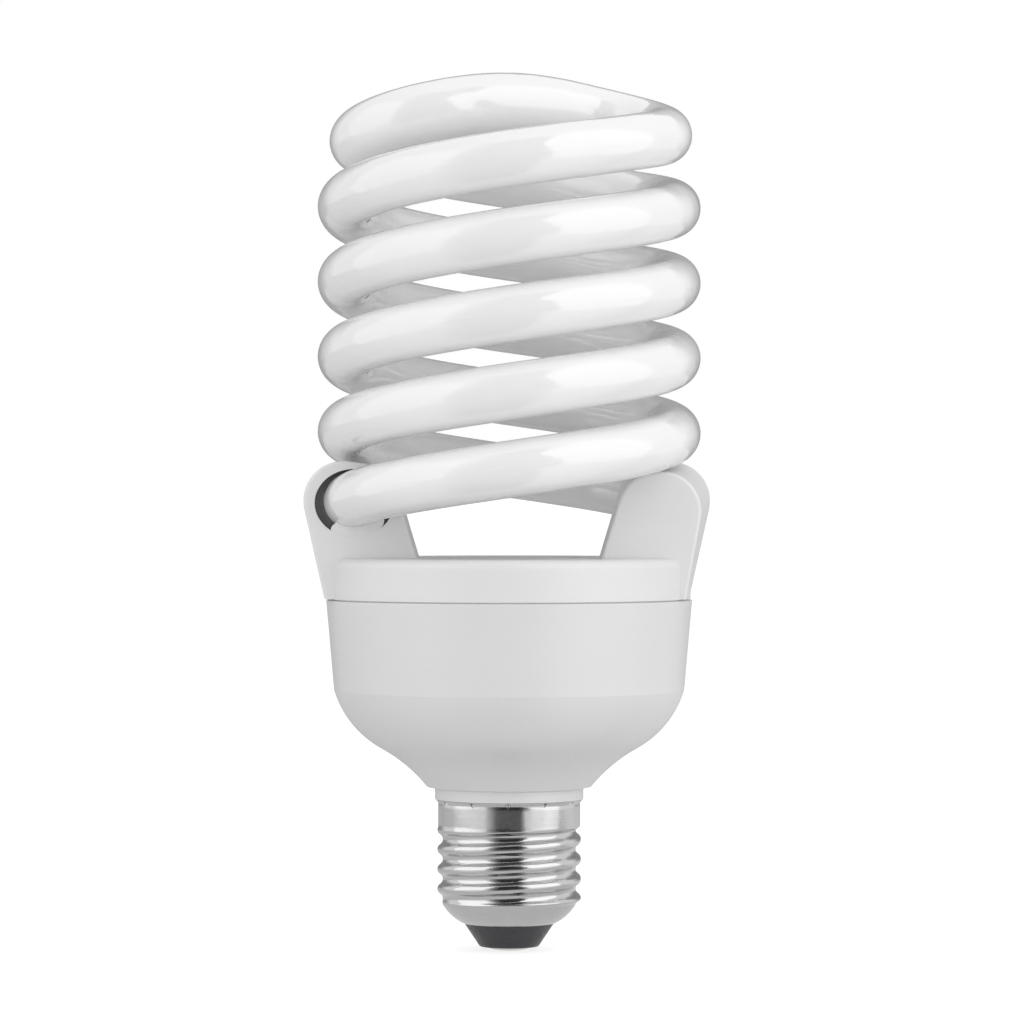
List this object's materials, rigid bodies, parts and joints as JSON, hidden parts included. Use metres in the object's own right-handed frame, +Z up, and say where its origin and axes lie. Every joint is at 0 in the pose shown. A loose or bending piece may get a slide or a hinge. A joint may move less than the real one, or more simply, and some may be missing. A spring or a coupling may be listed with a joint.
{
  "type": "spiral energy saving bulb",
  "caption": "Spiral fluorescent bulb: a double helix of white tube in two raised sockets, on a ballast housing with an E27 screw cap.",
  "frame": {"origin": "tip of the centre contact, on the axis of the lamp", "axes": "+Z up the axis of the lamp, from the cap to the crown of the tube; +X through the sockets"},
  "size_m": [0.0746, 0.0702, 0.1611],
  "materials": {
    "tube_glass": "white coated inside, glossy",
    "housing_plastic": "moulded, satin",
    "adhesive": "cured, smooth",
    "cap_metal": "rolled sheet, nickel plated",
    "black_glass": "pressed black glass",
    "contact_metal": "tinned",
    "board": "paper laminate",
    "sleeve": "shrunk sleeve",
    "ferrite": "sintered",
    "bobbin_plastic": "moulded",
    "copper": "enamelled wire",
    "transistor_epoxy": "moulded epoxy",
    "component_lacquer": "dipped lacquer",
    "resistor_body": "lacquered",
    "lead_metal": "tinned wire",
    "wire_insulation": "insulated wire"
  },
  "bodies": {
    "root": {"discharge_tube": "tube_glass", "top_cover": "housing_plastic", "ballast_housing": "housing_plastic", "tube_adhesive_right": "adhesive", "tube_adhesive_left": "adhesive", "screw_cap_shell": "cap_metal", "cap_insulator": "black_glass", "centre_contact": "contact_metal", "circuit_board": "board", "filter_capacitor": "sleeve", "choke_core_upper": "ferrite", "choke_core_lower": "ferrite", "choke_bobbin": "bobbin_plastic", "choke_winding": "copper", "drive_ring": "ferrite", "drive_winding": "wire_insulation", "power_transistor_upper": "transistor_epoxy", "power_transistor_lower": "transistor_epoxy", "rectifier_diodes": "transistor_epoxy", "line_choke_drum": "ferrite", "line_choke_winding": "copper", "thermistor": "component_lacquer", "fuse_resistor": "resistor_body", "trigger_diode": "resistor_body", "base_resistors": "resistor_body", "wrap_posts": "lead_metal", "lead_wires_right": "lead_metal", "lead_wires_left": "lead_metal", "shell_wire": "wire_insulation", "contact_wire": "wire_insulation", "resonant_capacitor": "component_lacquer", "coupling_capacitor": "component_lacquer", "starting_capacitor": "component_lacquer"}
  },
  "joints": []
}
